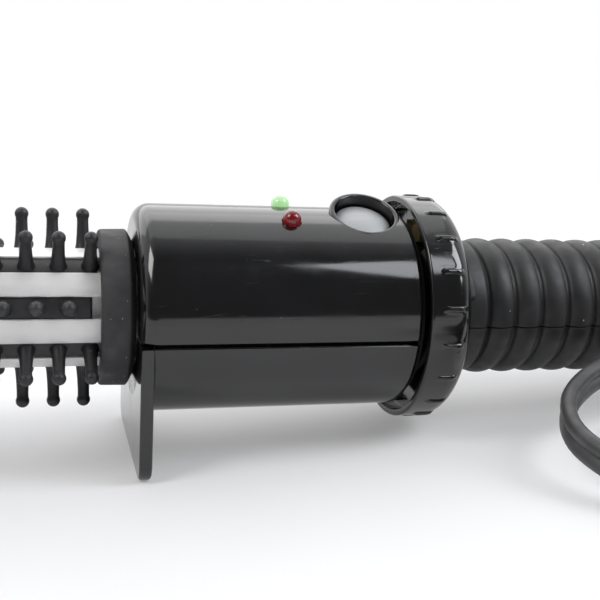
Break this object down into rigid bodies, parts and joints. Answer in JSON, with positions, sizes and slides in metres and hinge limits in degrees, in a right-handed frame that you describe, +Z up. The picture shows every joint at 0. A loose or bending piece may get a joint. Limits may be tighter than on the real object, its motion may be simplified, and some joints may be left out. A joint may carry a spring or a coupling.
{
  "type": "heated curling brush",
  "caption": "Heated curling brush: aluminium barrel with rows of ball-tipped pins, control housing with fixed stand, push button, heat dial, ribbed handle and swivel cord.",
  "frame": {"origin": "on the surface that the brush rests on, under the middle of the brush without its cord", "axes": "+Z up, +X from the barrel's tip to the handle's end along the surface, -Y the side with the button and lamps"},
  "size_m": [0.367, 0.11, 0.0477],
  "materials": {
    "aluminium": "extruded, fine lengthwise brushing, slightly dull",
    "pin_rubber": "black moulded, semi-matt",
    "tip_plastic": "moulded, satin",
    "inner_plastic": "moulded",
    "collar_plastic": "heat-resistant moulding, matt charcoal",
    "heater_ceramic": "sintered ceramic",
    "fuse_metal": "plated",
    "housing_gloss": "polished black",
    "button_metallic": "silver-coloured, satin",
    "lamp_green": "tinted clear epoxy",
    "lamp_red": "tinted clear epoxy",
    "board": "glass-fibre laminate",
    "dial_gloss": "polished black",
    "contact_brass": "bright",
    "handle_matte": "soft-touch black, matt",
    "screw_steel": "zinc plated",
    "cord_rubber": "flexible cord sheath, satin",
    "tie_plastic": "strap",
    "plug_rubber": "moulded, satin",
    "plug_brass": "nickel-coloured brass"
  },
  "bodies": {
    "brush": {"barrel_tube": "aluminium", "bristle_strip_1": "pin_rubber", "bristle_strip_2": "pin_rubber", "bristle_strip_3": "pin_rubber", "bristle_strip_4": "pin_rubber", "bristle_strip_5": "pin_rubber", "bristle_strip_6": "pin_rubber", "bristle_strip_7": "pin_rubber", "bristle_strip_8": "pin_rubber", "tip_cap": "tip_plastic", "tip_plug": "inner_plastic", "barrel_collar": "collar_plastic", "ptc_heater": "heater_ceramic", "heater_clamp": "aluminium", "thermal_fuse": "fuse_metal", "upper_shell": "housing_gloss", "lower_shell": "housing_gloss", "push_switch": "inner_plastic", "lamp_green": "lamp_green", "lamp_red": "lamp_red", "control_board": "board", "dial_track": "board", "core_tube": "inner_plastic", "handle_upper": "handle_matte", "handle_lower": "handle_matte", "housing_screws": "screw_steel", "handle_screws": "screw_steel", "swivel_bush": "inner_plastic", "cord_lead": "cord_rubber", "cord_hank": "cord_rubber", "cord_tie": "tie_plastic", "cord_tail": "cord_rubber", "plug_body": "plug_rubber", "plug_blades": "plug_brass"},
    "button": {"power_button": "button_metallic"},
    "dial": {"dial_ring": "dial_gloss", "dial_wiper": "contact_brass"},
    "swivel": {"swivel_spool": "contact_brass", "strain_relief": "cord_rubber"}
  },
  "joints": [
    {"name": "button_press", "type": "slide", "parent": "brush", "child": "button", "axis": [-0.0652, 0.4695, -0.8805], "range_m": [0, 0.0012], "stiffness_N_per_m": 900, "springref_m": -0.0008},
    {"name": "dial_turn", "type": "hinge", "parent": "brush", "child": "dial", "pos_m": [0.01591, 0, 0.0205], "axis": [0.9973, 0, -0.0738], "range_deg": [-135, 135]},
    {"name": "cord_swivel", "type": "hinge", "parent": "brush", "child": "swivel", "pos_m": [0.13478, 0, 0.0117], "axis": [0.9973, 0, -0.0738], "continuous": true}
  ]
}
